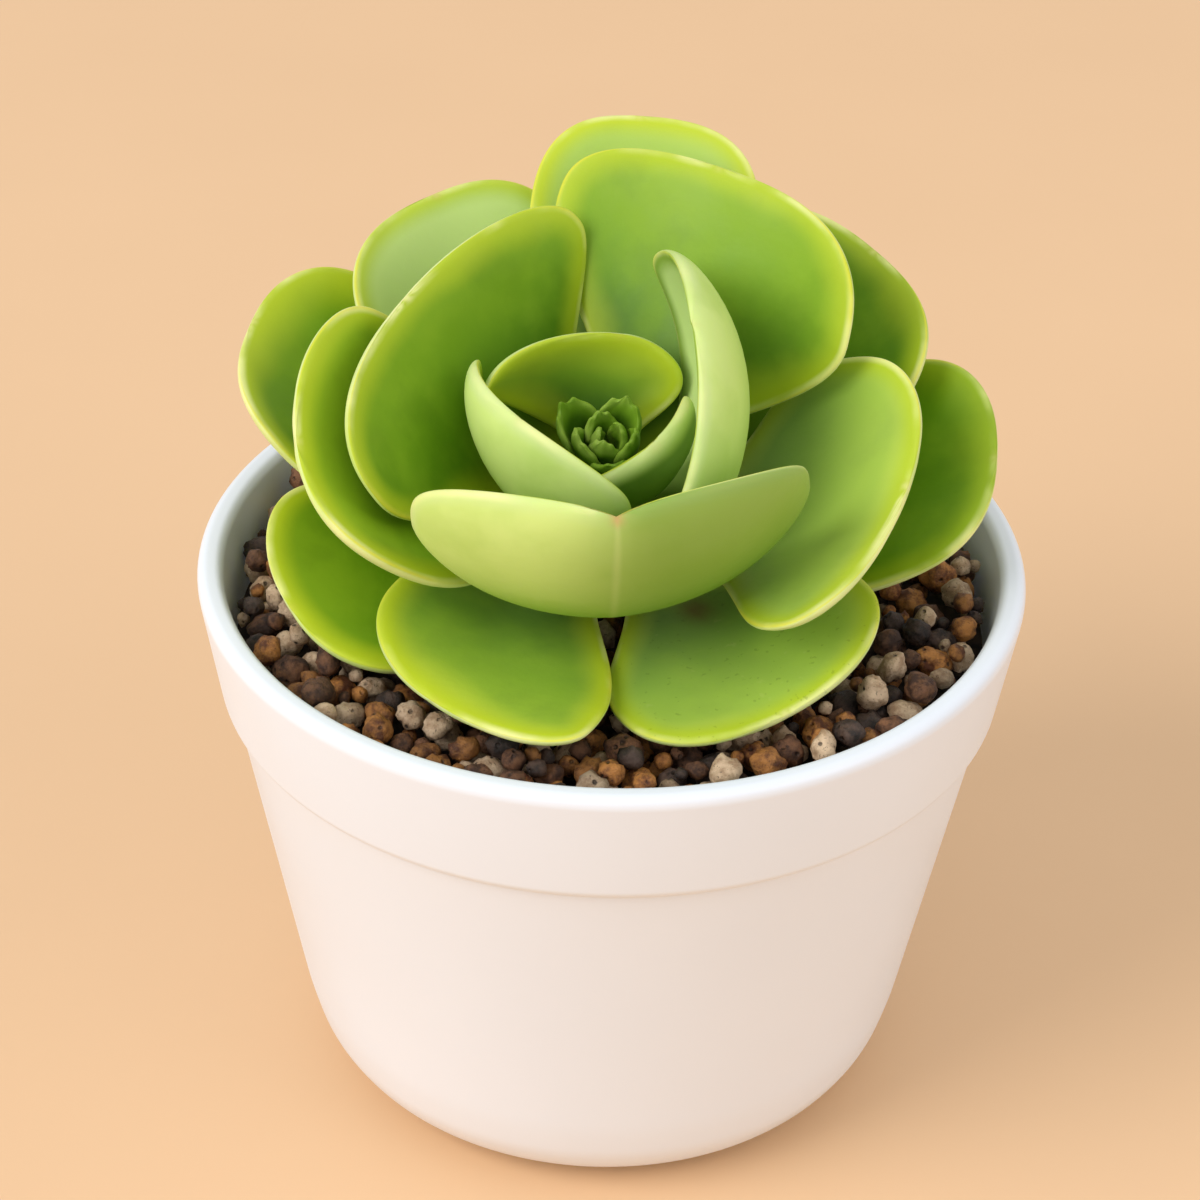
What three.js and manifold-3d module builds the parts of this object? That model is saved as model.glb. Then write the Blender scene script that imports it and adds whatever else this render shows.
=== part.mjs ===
// A potted succulent rosette: broad, thick, spoon-shaped leaves round a short stem, a heart of young leaves,
// and a white pot filled with round grit. Millimetres, +Z up, origin at the centre of the pot's base.
import * as THREE from "three";
import { mergeVertices } from "three/addons/utils/BufferGeometryUtils.js";
import Module from "manifold-3d";

const wasm = await Module();
wasm.setup();

// Driving dimensions of the pot.
const POT_HEIGHT = 85.6;
const RIM_RADIUS = 60;
const MOUTH_RADIUS = 56.2;
const COLLAR_BOTTOM = 66.8;
const COLLAR_FOOT_RADIUS = 57.2;
const BODY_TOP_RADIUS = 55.6;
const BODY_FOOT_RADIUS = 45.7;
const HEEL_HEIGHT = 15;
const FOOT_RADIUS = 33;
const WALL = 3;
const FLOOR = 4;
const POT_SIDES = 60;

// Clearance kept between pieces that touch on the real object.
const GAP = 0.3;

// The rosette leans to the front, about the place where its stem leaves the grit.
const ROSETTE_AT = new THREE.Vector3(-1, 8, 82);
const LEAN = 20;

// The stem inside the rosette. Its heights are from the place where it leaves the grit.
const STEM_RADIUS = 5.6;
const STEM_TOP_RADIUS = 3.1;
const STEM_TOP = 17;
const STEM_DEPTH = 16;

// The heart of small young leaves.
const HEART_LEAVES = 9;
const HEART_START = 150;
const GOLDEN_ANGLE = 137.5;

// The grit: its level under the leaves, its level in the open ring by the wall, and the slope between them.
const GRIT_LEVEL = 78.5;
const RING_LEVEL = 81.4;
const RING_INNER = 38;
const SLOPE_WIDTH = 6;

// The grains on the ring: radii of the smallest and largest, the rows that they lie in, and their spacing.
const GRAIN_SMALL = 2.5;
const GRAIN_LARGE = 3.2;
const GRAIN_ROWS = [39.6, 45.4, 51.2];
const GRAIN_SPACING = 5.4;

const radians = THREE.MathUtils.degToRad;
const { lerp, smoothstep } = THREE.MathUtils;

// The leaves, in the rosette's own space, with lengths along the surface and angles in degrees.
// azimuth is where a leaf points, 0 along +X and 90 along +Y. root is where it starts: [radius, height].
// rise is how steeply it leaves the stem and lift how steeply its tip ends, both above the horizontal.
// cup is how far each side curls up, twist turns the blade about its midrib, and keel draws the midrib out.
// waist narrows the lower half, square broadens the tip, and bias makes one side wider than the other.
// skew slants the end, so that one shoulder lies farther out, and notch dents the end in the middle.
// shoulder puts the widest place farther out on one side of the blade and farther in on the other.
const LEAF = {
  rootHalf: 2.8, thick: 4.2, cup: 30, twist: 0, keel: 0, widest: 0.68, waist: 1.8, square: 2.6, bias: 0,
  skew: 0, notch: 0, shoulder: 0,
};
const LEAVES = [
  // outer ring, nearly flat, over the grit
  {
    name: "leaf_01", azimuth: 243, root: [6.5, 4.1], length: 47, width: 40, rise: 17, lift: 28, cup: 22,
    widest: 0.72, waist: 1.7, square: 2.5, bias: 0.12, skew: 5, shoulder: 0.14,
  },
  {
    name: "leaf_02", azimuth: 300, root: [6.5, 3], length: 47.5, width: 43, rise: 18, lift: 25, cup: 16,
    waist: 2.1, bias: 0.08, skew: -2, shoulder: -0.06,
  },
  {
    name: "leaf_03", azimuth: 210, root: [6.5, 0.7], length: 47, width: 37, rise: 14, lift: 26, cup: 22,
    bias: -0.1,
  },
  {
    name: "leaf_04", azimuth: 1, root: [6.5, 0], length: 54, width: 39.5, rise: 14, lift: 34, cup: 22,
    bias: 0.04, skew: 2,
  },
  {
    name: "leaf_07", azimuth: 161, root: [6.5, 1.9], length: 55, width: 43, rise: 19, lift: 37, cup: 28,
    twist: 10, bias: 0.12,
  },
  {
    name: "leaf_08", azimuth: 122, root: [6.5, 5], length: 50, width: 40, rise: 18, lift: 38, cup: 24,
    twist: 11, bias: 0.12,
  },
  {
    name: "leaf_09", azimuth: 86.5, root: [6.5, 8.8], length: 55, width: 35, rise: 19, lift: 31, cup: 24,
    bias: -0.12,
  },
  {
    name: "leaf_11", azimuth: 43, root: [6.5, 3], length: 52, width: 46, rise: 15, lift: 38, cup: 24,
    twist: -8, bias: -0.02,
  },
  // middle ring
  {
    name: "leaf_05", azimuth: 198, root: [5.5, 5.5], length: 52.6, width: 46, rise: 28, lift: 54, cup: 34,
    twist: -10, bias: -0.13,
  },
  {
    name: "leaf_06", azimuth: 156, root: [5.6, 13.2], length: 37.5, width: 63.4, rise: 32, lift: 58, cup: 26,
    waist: 1.5, bias: 0.04, skew: 4,
  },
  {
    name: "leaf_10", azimuth: 69, root: [5.5, 11.2], length: 46.5, width: 52, rise: 30, lift: 45, cup: 24,
    waist: 2.1, twist: -12.5, bias: -0.15, shoulder: 0.1,
  },
  {
    name: "leaf_12", azimuth: 343, root: [5.5, 6], length: 46.8, width: 53, rise: 22, lift: 47, cup: 30,
    waist: 2.5, twist: 5, square: 2.7, bias: -0.06, skew: 3, shoulder: -0.16,
  },
  {
    name: "leaf_13", azimuth: 272, root: [5.5, 11.4], length: 55, width: 61, rise: 6, lift: 110, cup: 46,
    keel: 2, twist: 8, waist: 1.7, square: 3.2, bias: 0.05, skew: -1, notch: 2.4, shoulder: -0.05,
  },
  // inner ring
  {
    name: "leaf_14", azimuth: 223, root: [4.9, 14.5], length: 33.2, width: 39, rise: 26, lift: 110, cup: 50,
    bias: -0.06, skew: 1.8, thick: 3.2, square: 2.2,
  },
  {
    name: "leaf_15", azimuth: 85, root: [3.9, 15.9], length: 18.5, width: 36, rise: 31, lift: 70, cup: 54,
    twist: 8, thick: 2.8, square: 2.1, bias: 0.46, skew: 1.5,
  },
  {
    name: "leaf_16", azimuth: 4, root: [4, 12.6], length: 44, width: 57, rise: 24, lift: 134, cup: 46,
    square: 1.8, thick: 3.3, waist: 2, bias: -0.04, skew: 3, shoulder: -0.08,
  },
  {
    name: "leaf_17", azimuth: 313, root: [4.4, 17], length: 16.8, width: 24, rise: 42, lift: 105, cup: 50,
    bias: 0.06, skew: 1.6, thick: 3.2,
  },
];

// Half-width of one side of a leaf, 1 or -1, at a share u of its length: a narrow root, widest past the
// middle, and a round end.
function halfWidth(leaf, u, side) {
  const half = (leaf.width / 2) * (1 + side * leaf.bias);
  const widest = leaf.widest + side * leaf.shoulder;
  if (u < widest) {
    const swell = Math.pow(Math.sin(((Math.PI / 2) * u) / widest), leaf.waist);
    return lerp(leaf.rootHalf * (1 + side * leaf.bias), half, swell);
  }
  const v = (u - widest) / (1 - widest);
  return half * Math.pow(Math.max(0, 1 - Math.pow(v, leaf.square)), 1 / leaf.square);
}

// A frame on the leaf's midrib at a share u of its length, in the rosette's own space.
function midrib(leaf, u) {
  const STEPS = 40;
  const place = new THREE.Vector2(leaf.root[0], leaf.root[1]);
  const steps = Math.max(1, Math.round(STEPS * u));
  for (let i = 0; i < steps; i++) {
    const at = ((i + 0.5) / steps) * u;
    const slope = radians(lerp(leaf.rise, leaf.lift, at));
    place.x += ((leaf.length * u) / steps) * Math.cos(slope);
    place.y += ((leaf.length * u) / steps) * Math.sin(slope);
  }
  const slope = radians(lerp(leaf.rise, leaf.lift, u));
  const azimuth = radians(leaf.azimuth);
  const out = new THREE.Vector3(Math.cos(azimuth), Math.sin(azimuth), 0);
  const up = new THREE.Vector3(0, 0, 1);
  const along = out.clone().multiplyScalar(Math.cos(slope)).addScaledVector(up, Math.sin(slope));
  const across = new THREE.Vector3(-Math.sin(azimuth), Math.cos(azimuth), 0);
  const turn = new THREE.Quaternion().setFromAxisAngle(along, radians(leaf.twist * u));
  across.applyQuaternion(turn);
  const normal = along.clone().cross(across);
  const centre = out.clone().multiplyScalar(place.x).addScaledVector(up, place.y);
  return { centre, along, across, normal };
}

// A point of the leaf: u along it, t across it from -1 to 1, side 1 for the upper face and -1 for the lower.
function leafPoint(leaf, frame, u, t, side) {
  const half = halfWidth(leaf, u, t > 0 ? 1 : -1);
  const curl = Math.max(0.01, (radians(leaf.cup) * half) / (leaf.width / 2));
  const radius = half / curl;
  const angle = t * curl;
  const sideways = (t * half) / (leaf.width / 2);
  const keel = leaf.keel * Math.pow(u, 3) * Math.pow(1 - Math.min(1, Math.abs(sideways)), 2);
  const dent = leaf.notch * Math.exp(-Math.abs(sideways) / 0.16) * Math.pow(u, 6);
  const point = frame.centre.clone()
    .addScaledVector(frame.across, radius * Math.sin(angle))
    .addScaledVector(frame.normal, radius * (1 - Math.cos(angle)) - keel)
    .addScaledVector(frame.along, leaf.skew * sideways * u * u - dent);
  const normal = frame.normal.clone().multiplyScalar(Math.cos(angle))
    .addScaledVector(frame.across, -Math.sin(angle));
  const fullness = 0.7 * Math.sqrt(Math.max(0, 1 - Math.pow(Math.abs(t), 7))) + 0.3 * (1 - t * t);
  const ends = (0.6 + 0.4 * smoothstep(u, 0, 0.4)) * Math.sqrt(Math.max(0, 1 - Math.pow(u, 9)));
  const share = side > 0 ? 0.35 : 0.65;
  return point.addScaledVector(normal, side * share * leaf.thick * fullness * ends);
}

// A closed leaf: rings of points from the root to one point at the tip.
function leafGeometry(row, rows = 10, columns = 8) {
  const leaf = { ...LEAF, ...row };
  const positions = [];
  const faces = [];
  const ring = 2 * columns;
  for (let i = 0; i < rows; i++) {
    const u = Math.sin(((Math.PI / 2) * i) / rows);
    const frame = midrib(leaf, u);
    for (let j = 0; j < ring; j++) {
      const side = j <= columns ? 1 : -1;
      const k = j <= columns ? j : ring - j;
      const t = Math.sin((Math.PI / 2) * ((2 * k) / columns - 1));
      positions.push(...leafPoint(leaf, frame, u, t, side).toArray());
    }
  }
  for (let i = 0; i < rows - 1; i++) {
    for (let j = 0; j < ring; j++) {
      const a = i * ring + j;
      const b = i * ring + ((j + 1) % ring);
      faces.push(a, b + ring, b, a, a + ring, b + ring);
    }
  }
  const tip = positions.length / 3;
  positions.push(...leafPoint(leaf, midrib(leaf, 1), 1, 0, 1).toArray());
  const root = positions.length / 3;
  positions.push(...midrib(leaf, 0).centre.toArray());
  for (let j = 0; j < ring; j++) {
    const next = (j + 1) % ring;
    faces.push((rows - 1) * ring + next, (rows - 1) * ring + j, tip);
    faces.push(j, next, root);
  }
  const geometry = new THREE.BufferGeometry();
  geometry.setAttribute("position", new THREE.Float32BufferAttribute(positions, 3));
  geometry.setIndex(faces);
  return geometry;
}

// A closed solid for joining and cutting, from a geometry whose faces point outward.
function solidOf(geometry) {
  const welded = new THREE.BufferGeometry();
  const flat = geometry.index ? geometry.toNonIndexed() : geometry;
  welded.setAttribute("position", flat.getAttribute("position").clone());
  const merged = mergeVertices(welded, 1e-3);
  return new wasm.Manifold(new wasm.Mesh({
    numProp: 3,
    vertProperties: Float32Array.from(merged.getAttribute("position").array),
    triVerts: Uint32Array.from(merged.index.array),
  }));
}

// The faceted geometry of a joined or cut solid.
function geometryOf(solid) {
  const mesh = solid.getMesh();
  const geometry = new THREE.BufferGeometry();
  geometry.setAttribute("position", new THREE.Float32BufferAttribute(mesh.vertProperties, 3));
  geometry.setIndex(Array.from(mesh.triVerts));
  return geometry;
}

// A solid of revolution about Z from [radius, height] pairs that run upward on the outside.
function turned(profile, sides) {
  const points = profile.map(([radius, height]) => new THREE.Vector2(radius, height));
  const geometry = new THREE.LatheGeometry(points, sides);
  geometry.rotateX(Math.PI / 2);
  return geometry;
}

// The inside of the pot, from the mouth down to the floor; inset moves it off the wall.
function potInside(inset) {
  return [
    [MOUTH_RADIUS - inset, POT_HEIGHT - 1],
    [COLLAR_FOOT_RADIUS - WALL - 0.6 - inset, COLLAR_BOTTOM],
    [BODY_FOOT_RADIUS - WALL + 0.4 - inset, HEEL_HEIGHT],
    [FOOT_RADIUS + 6 - inset, FLOOR + 4 + inset / 2],
    [FOOT_RADIUS - 1 - inset, FLOOR + inset],
  ];
}

// The pot: a rounded heel, a tapered body, a thicker collar with a soft lower edge, and a rounded lip.
function potGeometry() {
  const profile = [
    [0, 0],
    [FOOT_RADIUS, 0],
    [FOOT_RADIUS + 4.6, 1.6],
    [FOOT_RADIUS + 8.4, 4.6],
    [FOOT_RADIUS + 11, 8.8],
    [BODY_FOOT_RADIUS, HEEL_HEIGHT],
    [BODY_TOP_RADIUS, COLLAR_BOTTOM - 0.6],
    [COLLAR_FOOT_RADIUS - 0.5, COLLAR_BOTTOM],
    [COLLAR_FOOT_RADIUS, COLLAR_BOTTOM + 0.8],
    [RIM_RADIUS, POT_HEIGHT - 1.6],
    [RIM_RADIUS - 0.3, POT_HEIGHT - 0.6],
    [RIM_RADIUS - 1.2, POT_HEIGHT],
    [MOUTH_RADIUS + 0.8, POT_HEIGHT],
    ...potInside(0),
    [0, FLOOR],
  ];
  return turned(profile, POT_SIDES);
}

// Random numbers between 0 and 1 that come out the same every time.
function sequence(seed) {
  let state = seed;
  return () => {
    state = (state * 16807) % 2147483647;
    return state / 2147483647;
  };
}

// The grit: one filled body with a plain hole for the stem, and grains fused on top in the open ring.
function gritSolid(stemHole, leafSolids) {
  const wall = potInside(GAP + 0.1);
  const slope = (wall[0][0] - wall[1][0]) / (wall[0][1] - wall[1][1]);
  const wallRadius = (height) => wall[1][0] + slope * (height - wall[1][1]);
  const body = solidOf(turned([
    [0, FLOOR + GAP],
    [wall[4][0], FLOOR + GAP],
    wall[3],
    wall[2],
    wall[1],
    [wallRadius(RING_LEVEL), RING_LEVEL],
    [RING_INNER + SLOPE_WIDTH, RING_LEVEL],
    [RING_INNER, GRIT_LEVEL],
    [0, GRIT_LEVEL],
  ], 36));
  const leaves = wasm.Manifold.union(leafSolids);
  const ball = solidOf(new THREE.IcosahedronGeometry(1, 0));
  const random = sequence(4071);
  const grains = [];
  for (const row of GRAIN_ROWS) {
    const count = Math.floor((2 * Math.PI * row) / GRAIN_SPACING);
    for (let i = 0; i < count; i++) {
      const size = lerp(GRAIN_SMALL, GRAIN_LARGE, random());
      const azimuth = (2 * Math.PI * (i + 0.5 * random())) / count;
      const reach = row + random() - 0.5;
      const level = lerp(GRIT_LEVEL, RING_LEVEL, Math.min(1, (reach - RING_INNER) / SLOPE_WIDTH));
      const place = [reach * Math.cos(azimuth), reach * Math.sin(azimuth), level + 0.8 * random()];
      const shape = [size, size * lerp(0.8, 1, random()), size * 0.85];
      const room = ball.scale(shape.map((radius) => radius + GAP)).translate(place);
      if (room.intersect(leaves).isEmpty()) {
        grains.push(ball.scale(shape).translate(place));
      }
    }
  }
  return wasm.Manifold.union([body, ...grains]).subtract(stemHole);
}

// The stem: thick below, where the outer leaves join, and narrow at the heart.
function stemGeometry(extra = 0) {
  return turned([
    [0, -STEM_DEPTH - extra],
    [STEM_RADIUS + extra - 0.8, -STEM_DEPTH - extra],
    [STEM_RADIUS + extra, 1 - STEM_DEPTH],
    [STEM_RADIUS + extra, 2.5],
    [STEM_TOP_RADIUS + extra + 1, 7],
    [STEM_TOP_RADIUS + extra, 12],
    [STEM_TOP_RADIUS + extra, STEM_TOP - 1],
    [STEM_TOP_RADIUS + extra - 1, STEM_TOP],
    [0, STEM_TOP],
  ], 24);
}

// The heart: small young leaves, each 137.5 degrees on from the last, fused with their growing point.
function heartSolid() {
  const foot = STEM_TOP + GAP;
  const pieces = [solidOf(turned([[0, foot], [2.6, foot], [2.4, foot + 2.7], [0, foot + 5.7]], 12))];
  for (let i = 0; i < HEART_LEAVES; i++) {
    const leaf = {
      azimuth: HEART_START + GOLDEN_ANGLE * i, root: [1.4, foot + 0.9 + 0.3 * i],
      length: 11.4 - 0.7 * i, width: 7.8 - 0.47 * i, rise: 38 + 4.5 * i, lift: 70 + 4 * i,
      cup: 48, thick: 1.9, rootHalf: 1.5, widest: 0.55, square: 1.6,
    };
    pieces.push(solidOf(leafGeometry(leaf, 6, 4)));
  }
  return wasm.Manifold.union(pieces);
}

const part = new THREE.Group();

function add(parent, name, geometry, material) {
  const mesh = new THREE.Mesh(geometry, material);
  mesh.name = name;
  parent.add(mesh);
  return mesh;
}

const potMaterial = new THREE.MeshStandardMaterial({ color: 0xf1ece7, roughness: 0.35, metalness: 0 });
const gritMaterial = new THREE.MeshStandardMaterial({ color: 0x8a6a4e, roughness: 0.9, metalness: 0 });
const stemMaterial = new THREE.MeshStandardMaterial({ color: 0x8d8a4e, roughness: 0.7, metalness: 0 });
const leafMaterial = new THREE.MeshStandardMaterial({ color: 0x8fbe45, roughness: 0.45, metalness: 0 });
const heartMaterial = new THREE.MeshStandardMaterial({ color: 0x6f9f3c, roughness: 0.5, metalness: 0 });

const rosette = new THREE.Group();
rosette.position.copy(ROSETTE_AT);
rosette.rotation.x = radians(LEAN);
rosette.updateMatrix();
part.add(rosette);

add(part, "pot", potGeometry(), potMaterial);
for (const row of LEAVES) {
  add(rosette, row.name, leafGeometry(row), leafMaterial);
}
add(rosette, "heart", geometryOf(heartSolid()), heartMaterial);
add(rosette, "stem", stemGeometry(), stemMaterial);

const inPart = (geometry) => solidOf(geometry.clone().applyMatrix4(rosette.matrix));
const leafSolids = LEAVES.map((row) => inPart(leafGeometry(row)));
add(part, "grit", geometryOf(gritSolid(inPart(stemGeometry(GAP + 0.1)), leafSolids)), gritMaterial);

export default part;
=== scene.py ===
# %% [markdown]
# # A potted succulent rosette
# The object is a young echeveria: seventeen broad, thick, spoon-shaped leaves round a short stem, a heart
# of tiny leaves in the middle, and a plain white pot filled with round grit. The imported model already
# holds every piece as a coarse solid at its true place. This lesson models the same pieces again, finely,
# and gives them their finishes. Everything is in metres, with Z up and the origin under the pot.

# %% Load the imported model
import math
import random

import bpy
import numpy as np
from mathutils import Matrix, Vector, noise
from mathutils.bvhtree import BVHTree


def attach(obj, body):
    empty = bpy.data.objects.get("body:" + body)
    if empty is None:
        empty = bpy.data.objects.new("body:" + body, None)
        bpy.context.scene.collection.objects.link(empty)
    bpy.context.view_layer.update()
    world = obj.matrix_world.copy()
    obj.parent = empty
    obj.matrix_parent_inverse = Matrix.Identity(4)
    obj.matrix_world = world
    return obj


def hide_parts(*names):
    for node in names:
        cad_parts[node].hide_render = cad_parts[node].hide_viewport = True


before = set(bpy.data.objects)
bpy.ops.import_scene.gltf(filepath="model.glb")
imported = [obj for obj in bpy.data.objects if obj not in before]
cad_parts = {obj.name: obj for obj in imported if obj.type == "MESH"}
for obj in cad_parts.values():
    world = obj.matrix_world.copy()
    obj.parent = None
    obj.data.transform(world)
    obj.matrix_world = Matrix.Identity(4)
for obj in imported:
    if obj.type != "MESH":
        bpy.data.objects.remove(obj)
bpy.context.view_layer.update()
print("packed nodes:", len(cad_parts))

# %% [markdown]
# ## The camera
# The photograph looks down on the plant from the front, from about 60 cm away and 36 degrees above the
# table. The camera could be placed by eye, but then every outline would be a little off. The place and the
# lens were worked out from the ellipses of the pot's lip and foot, so they are given here as numbers.

# %% Place the camera
MM = 0.001
CAMERA_RANGE = 600 * MM
CAMERA_RISE = math.radians(35.8)
CAMERA_ROLL = math.radians(1.4)
LENS = 120
SENSOR = 36
orbit_centre = Vector((0, 0, 50 * MM))
aim = Vector((-1.6, 0, 77.6)) * MM
eye = orbit_centre + CAMERA_RANGE * Vector((0, -math.cos(CAMERA_RISE), math.sin(CAMERA_RISE)))


def looking_at(place, target):
    """How a camera or a lamp stands at one place and points at another."""
    turn = (target - place).to_track_quat("-Z", "Y").to_matrix().to_4x4()
    return Matrix.Translation(place) @ turn


camera_data = bpy.data.cameras.new("camera")
camera_data.sensor_width = SENSOR
camera_data.lens = LENS
camera = bpy.data.objects.new("camera", camera_data)
bpy.context.scene.collection.objects.link(camera)
camera.matrix_world = looking_at(eye, aim) @ Matrix.Rotation(CAMERA_ROLL, 4, "Z")
bpy.context.scene.camera = camera
print("camera at", [round(value, 4) for value in eye])

# %% [markdown]
# ## Building finishes
# A finish is a tree of nodes that ends in one shader. The nodes could be wired by hand, but in code each
# one takes several lines. Two short functions take that over: one adds a node and fills in its settings,
# and one makes a material with its roughness and any other number of its shader.

# %% Add nodes and materials
def add_node(tree, kind, **values):
    """Adds a node; values name its settings or, failing that, its inputs."""
    made = tree.nodes.new(kind)
    for name, value in values.items():
        if hasattr(made, name):
            setattr(made, name, value)
        elif isinstance(value, bpy.types.NodeSocket):
            tree.links.new(value, made.inputs[name.replace("_", " ")])
        else:
            made.inputs[name.replace("_", " ")].default_value = value
    return made


def new_material(name, roughness, **sockets):
    material = bpy.data.materials.new(name)
    material.use_nodes = True
    tree = material.node_tree
    shader = tree.nodes["Principled BSDF"]
    shader.inputs["Roughness"].default_value = roughness
    for socket, value in sockets.items():
        shader.inputs[socket.replace("_", " ")].default_value = value
    return material, tree, shader


print("materials so far:", len(bpy.data.materials))

# %% [markdown]
# ### The steps of a finish
# The same few steps come back in all finishes: read a number kept on the mesh, make a pattern in the
# object's own space, turn a number into a share, multiply shares, and mix two colours by a share. Written
# out each time they would hide what a finish does. As functions they let the finishes read like recipes.

# %% Wire the steps of a finish
def read(tree, name):
    """A number that was kept on the points of the mesh."""
    return add_node(tree, "ShaderNodeAttribute", attribute_name=name).outputs["Fac"]


def mottle(tree, scale, detail=3.0, rough=0.5):
    """Soft patches in the object's own space."""
    coords = add_node(tree, "ShaderNodeTexCoord").outputs["Object"]
    made = add_node(tree, "ShaderNodeTexNoise", Vector=coords, Scale=scale, Detail=detail, Roughness=rough)
    return made.outputs["Fac"]


def fade(tree, value, start, end, low=0.0, high=1.0):
    """Runs smoothly from low to high as value goes from start to end."""
    made = tree.nodes.new("ShaderNodeMapRange")
    made.interpolation_type = "SMOOTHSTEP"
    tree.links.new(value, made.inputs["Value"])
    made.inputs["From Min"].default_value = start
    made.inputs["From Max"].default_value = end
    made.inputs["To Min"].default_value = low
    made.inputs["To Max"].default_value = high
    return made.outputs["Result"]


def multiply(tree, first, second):
    """Multiplies an output by another output or by a number."""
    made = add_node(tree, "ShaderNodeMath", operation="MULTIPLY")
    tree.links.new(first, made.inputs[0])
    if isinstance(second, bpy.types.NodeSocket):
        tree.links.new(second, made.inputs[1])
    else:
        made.inputs[1].default_value = second
    return made.outputs[0]


# the mix node has several sockets of the same name, so they are picked by number
MIX_SHARE = 0
MIX_COLOURS = (6, 7)
MIX_RESULT = 2


def blend(tree, share, first, second):
    """Mixes two colours by an output; each is a colour or an output."""
    made = add_node(tree, "ShaderNodeMix", data_type="RGBA")
    tree.links.new(share, made.inputs[MIX_SHARE])
    for socket, colour in zip(MIX_COLOURS, (first, second)):
        if isinstance(colour, bpy.types.NodeSocket):
            tree.links.new(colour, made.inputs[socket])
        else:
            made.inputs[socket].default_value = (*colour, 1)
    return made.outputs[MIX_RESULT]


print("steps of a finish: read, mottle, fade, multiply, blend")

# %% [markdown]
# ## The table
# The plant stands on a plain pale surface. A slab with a thickness would do as well, but nobody sees its
# edge or its underside, so the table is one large disc. It is wide enough to fill the picture from a low
# camera, and a slow drift in its colour keeps it from looking like paper.

# %% Lay the table
def deselect():
    if bpy.context.object and bpy.context.object.mode != "OBJECT":
        bpy.ops.object.mode_set(mode="OBJECT")
    bpy.ops.object.select_all(action="DESELECT")


TABLE_RADIUS = 2.4
deselect()
bpy.ops.mesh.primitive_circle_add(vertices=96, radius=TABLE_RADIUS, fill_type="NGON")
table = bpy.context.object
table.name = "table"
table_finish, table_tree, table_shader = new_material("table_finish", 0.7)
table_ramp = add_node(table_tree, "ShaderNodeValToRGB", Fac=mottle(table_tree, 14, 4))
table_ramp.color_ramp.elements[0].color = (0.77, 0.50, 0.285, 1)
table_ramp.color_ramp.elements[1].color = (0.81, 0.53, 0.305, 1)
table_tree.links.new(table_ramp.outputs["Color"], table_shader.inputs["Base Color"])
table.data.materials.append(table_finish)
print("table across, in metres:", 2 * TABLE_RADIUS)

# %% [markdown]
# ## The light
# The daylight is soft and comes from the upper left. A sun lamp would give hard shadows, so a large area
# lamp does it, with a weaker one on the right and a pale sky all round. The standard view keeps greens as
# clean on screen as they are in the materials.

# %% Hang the lamps and the sky
LIT_PLACE = Vector((0, 0, 0.08))


def lamp(name, place, power, size, colour):
    data = bpy.data.lights.new(name, "AREA")
    data.shape = "DISK"
    data.size = size
    data.energy = power
    data.color = colour
    lamp_object = bpy.data.objects.new(name, data)
    bpy.context.scene.collection.objects.link(lamp_object)
    lamp_object.matrix_world = looking_at(Vector(place), LIT_PLACE)
    print(f"{name}: {power} W, {size} m across")


lamp("key_lamp", (-1.9, -1.2, 1.8), 51, 1.9, (1.0, 0.99, 0.98))
lamp("side_lamp", (0.95, -0.5, 0.7), 3.2, 1.0, (1.0, 0.98, 0.96))
sky = bpy.data.worlds.new("sky")
sky.use_nodes = True
sky.node_tree.nodes["Background"].inputs["Color"].default_value = (0.97, 0.985, 1.0, 1)
sky.node_tree.nodes["Background"].inputs["Strength"].default_value = 0.74
bpy.context.scene.world = sky
bpy.context.scene.view_settings.view_transform = "Standard"

# %% [markdown]
# ## Finishing a piece
# Each piece ends the same way: its object at the origin with its place in its mesh, its material, the
# imported body that it moves with and the imported node that it stands for.
# This could be written out after every piece. One function does it, so that no piece misses a step.

# %% Name, dress and attach a piece
def finish_piece(piece, name, material, slot, *nodes):
    piece.name = name
    piece.data.name = name
    piece.data.materials.clear()
    piece.data.materials.append(material)
    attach(piece, "root")
    if nodes:
        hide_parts(*nodes)
    triangles = sum(len(face.vertices) - 2 for face in piece.data.polygons)
    print(f"{name}: {triangles} triangles")


def points_of(piece):
    points = np.empty(len(piece.data.vertices) * 3)
    piece.data.vertices.foreach_get("co", points)
    return points.reshape(-1, 3)


def move_points(piece, points):
    piece.data.vertices.foreach_set("co", np.asarray(points, dtype=np.float32).ravel())
    piece.data.update()


def paint(piece, name, values):
    """Keeps one number for each point of the mesh, for a material to read."""
    layer = piece.data.attributes.new(name, "FLOAT", "POINT")
    layer.data.foreach_set("value", np.asarray(values, dtype=np.float32).ravel())


print("nodes to dress:", ", ".join(sorted(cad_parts)))

# %% [markdown]
# ## The leaves
# A leaf of this plant is a thick spoon: narrow where it leaves the stem, widest past the middle, cupped
# from side to side, and full in the middle with a rounded margin. Every leaf is the same kind of thing, so
# one set of measures describes them all, and each leaf gives only what sets it apart. They could be sculpted
# one by one, but then they would no longer fit the imported solids.
#
# Lengths are in millimetres and angles in degrees, as in the imported model. The first words of a row give the
# form and the last ones the look. tone lightens the outer half, fresh is the strength of the lime margin, the
# bloom is waxy dust together with a painted sheen, shade is painted shade on the youngest leaves, dusk is
# painted shade on the side turned from the light, and crease is a pale painted highlight along a fold.

# %% Write down the leaves' measures
ROSETTE_AT = np.array((-1, 8, 82))
LEAN = np.array(Matrix.Rotation(math.radians(20), 3, "X"))

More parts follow.
